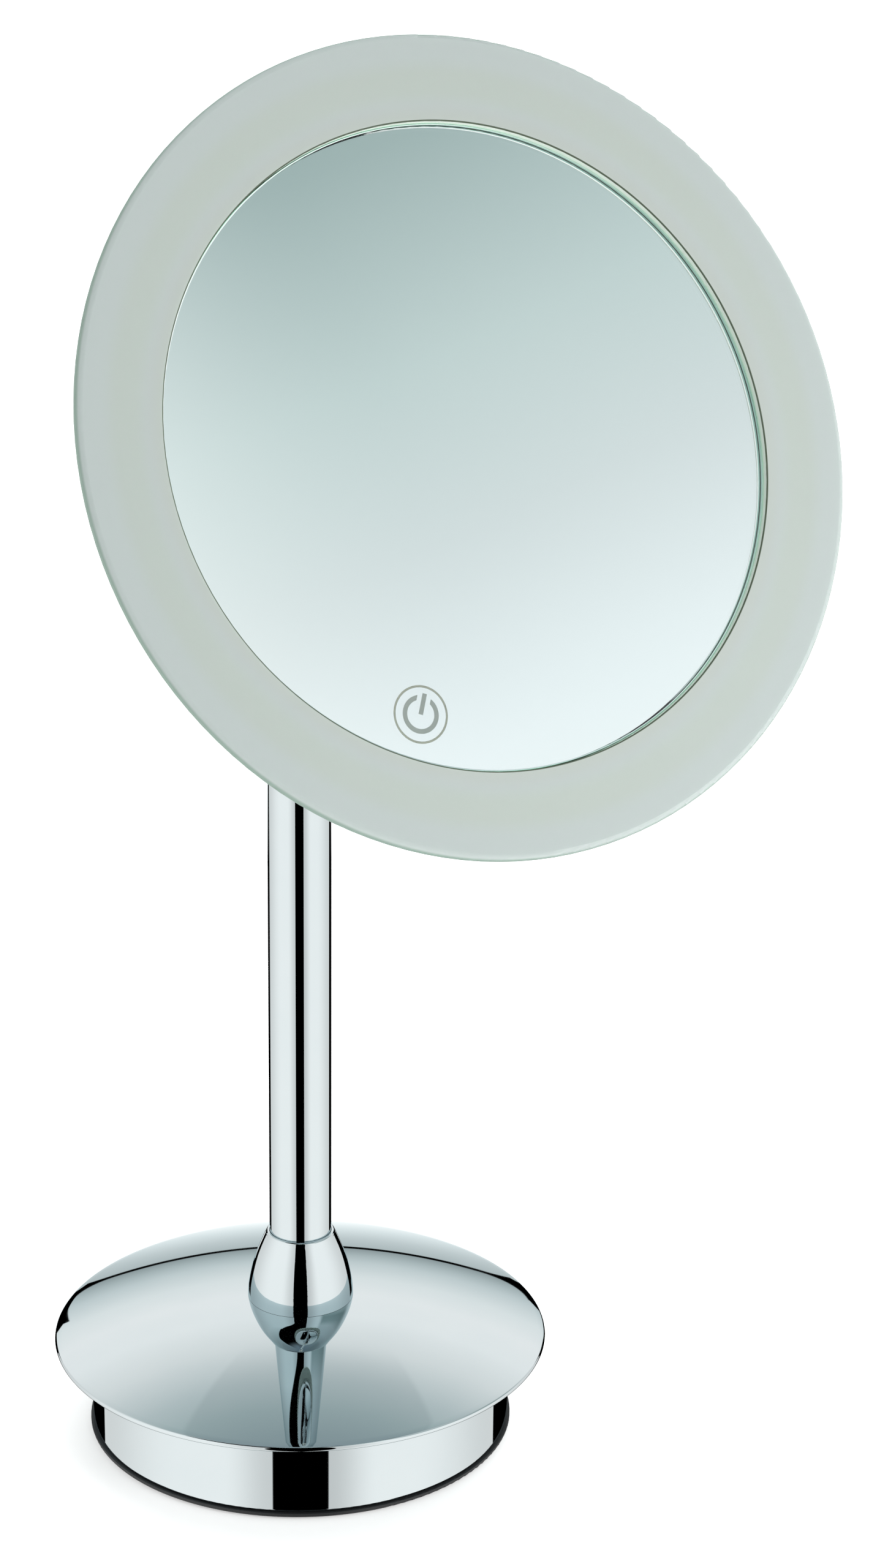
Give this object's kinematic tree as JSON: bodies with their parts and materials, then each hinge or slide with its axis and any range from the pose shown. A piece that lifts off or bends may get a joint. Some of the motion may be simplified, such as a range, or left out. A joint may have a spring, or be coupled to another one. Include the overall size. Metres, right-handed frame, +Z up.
{
  "type": "lighted vanity mirror",
  "caption": "Round tabletop vanity mirror with a frosted light ring, on a ball-jointed head, chrome post and weighted dome base.",
  "frame": {"origin": "on the table under the post's axis, at the centre of the foot ring's underside", "axes": "+Z up along the post; -Y is the way the mirror looks at rest; +X is to the right of someone looking into it"},
  "size_m": [0.205, 0.2207, 0.4086],
  "materials": {
    "chrome": "polished chrome plate",
    "black_plastic": "fine textured black",
    "white_plastic": "satin white",
    "grey_plastic": "satin light grey",
    "nylon": "natural nylon",
    "rubber": "matt black",
    "iron": "as cast, painted",
    "steel": "zinc plated",
    "spring_steel": "blued",
    "nickel": "nickel plated strip",
    "brass": "turned",
    "frosted_acrylic": "frosted, soft satin",
    "glass": "polished edge, faint green",
    "silver": "silvered",
    "symbol": "frosted line left clear of silvering",
    "foam": "closed cell foam",
    "circuit_board": "solder mask",
    "led": "phosphor window",
    "cell": "plain wrapper",
    "lead": "smooth sheath"
  },
  "bodies": {
    "base": {"foot_ring": "rubber", "base_plate": "black_plastic", "battery_cover": "black_plastic", "battery_cover_screw": "steel", "base_screws": "steel", "base_drum": "chrome", "dome_cover": "chrome", "counterweight": "iron", "battery_tray": "grey_plastic", "aa_cells": "cell", "contact_plates": "nickel", "contact_springs": "nickel", "threaded_nipple": "steel", "lock_washer": "steel", "clamp_nut": "steel", "dome_washer": "nylon", "post_plug": "brass", "post_tube": "chrome", "post_collar": "chrome", "post_spigot": "steel", "thrust_washer": "nylon", "retaining_washer": "steel", "retaining_clip": "spring_steel", "post_lead": "lead"},
    "arm": {"swivel_hub": "chrome", "hub_cap": "chrome", "swivel_bush": "nylon", "arm_tube": "chrome", "arm_ferrule": "chrome", "ball_stud": "chrome", "arm_lead": "lead"},
    "seat": {"ball_seat": "nylon"},
    "pad": {"friction_pad": "nylon"},
    "head": {"spring_cup": "black_plastic", "disc_springs": "spring_steel", "socket_housing": "chrome", "clamp_ring": "chrome", "housing_screws": "steel", "rear_shell": "chrome", "shell_screws": "steel", "diffuser_ring": "frosted_acrylic", "mirror_glass": "glass", "silver_coating": "silver", "touch_symbol": "symbol", "adhesive_pad": "foam", "touch_sensor_board": "circuit_board", "mirror_carrier": "white_plastic", "led_board": "circuit_board", "led_chips": "led", "reflector_ring": "white_plastic", "driver_board": "circuit_board", "head_lead": "lead"}
  },
  "joints": [
    {"name": "post_swivel", "type": "hinge", "parent": "base", "child": "arm", "pos_m": [0, 0, 0.28], "axis": [0, 0, 1], "range_deg": [-170, 170]},
    {"name": "head_tilt", "type": "hinge", "parent": "arm", "child": "seat", "pos_m": [0, -0.06585, 0.29754], "axis": [-1, 0, 0], "range_deg": [-55, 5]},
    {"name": "head_turn", "type": "hinge", "parent": "seat", "child": "pad", "pos_m": [0, -0.06585, 0.29754], "axis": [0, 0.4242, 0.9056], "range_deg": [-20, 20]},
    {"name": "head_roll", "type": "hinge", "parent": "pad", "child": "head", "pos_m": [0, -0.06585, 0.29754], "axis": [0, -0.9056, 0.4242], "range_deg": [-180, 180]}
  ]
}
